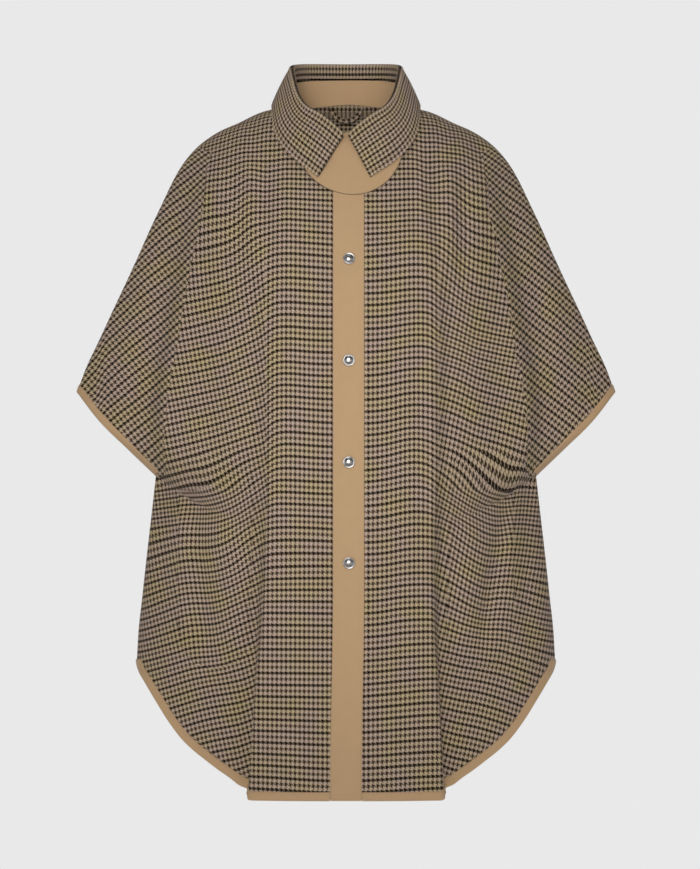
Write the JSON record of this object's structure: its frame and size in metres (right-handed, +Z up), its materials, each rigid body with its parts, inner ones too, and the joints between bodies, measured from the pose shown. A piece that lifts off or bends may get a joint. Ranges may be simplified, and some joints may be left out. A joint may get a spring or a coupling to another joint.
{
  "type": "poncho",
  "caption": "Checked wool cape-like poncho with rolled collar, plain placket with snap caps, wide sleeve openings, curved bound hem and side patch pockets, worn shape.",
  "frame": {"origin": "middle of the neck's base, where the garment rests on its wearer's shoulders", "axes": "+Z up, the front towards -Y, +X to the right of someone who faces the front"},
  "size_m": [0.7022, 0.314, 0.9444],
  "materials": {
    "check": "brushed wool, twill woven in a small brown, taupe and cream check",
    "tan": "plain tan wool twill, matt",
    "metal": "polished silver-coloured metal"
  },
  "bodies": {
    "root": {"front_left": "check", "front_right": "check", "back": "check", "pocket_left": "check", "pocket_right": "check", "collar_fall": "check", "hanger_loop": "check", "collar_stand": "tan", "placket": "tan", "bib": "tan", "cuff_binding_left": "tan", "cuff_binding_right": "tan", "hem_binding_left": "tan", "hem_binding_right": "tan", "hem_binding_back": "tan", "snap_1": "metal", "snap_2": "metal", "snap_3": "metal", "snap_4": "metal"}
  },
  "joints": []
}
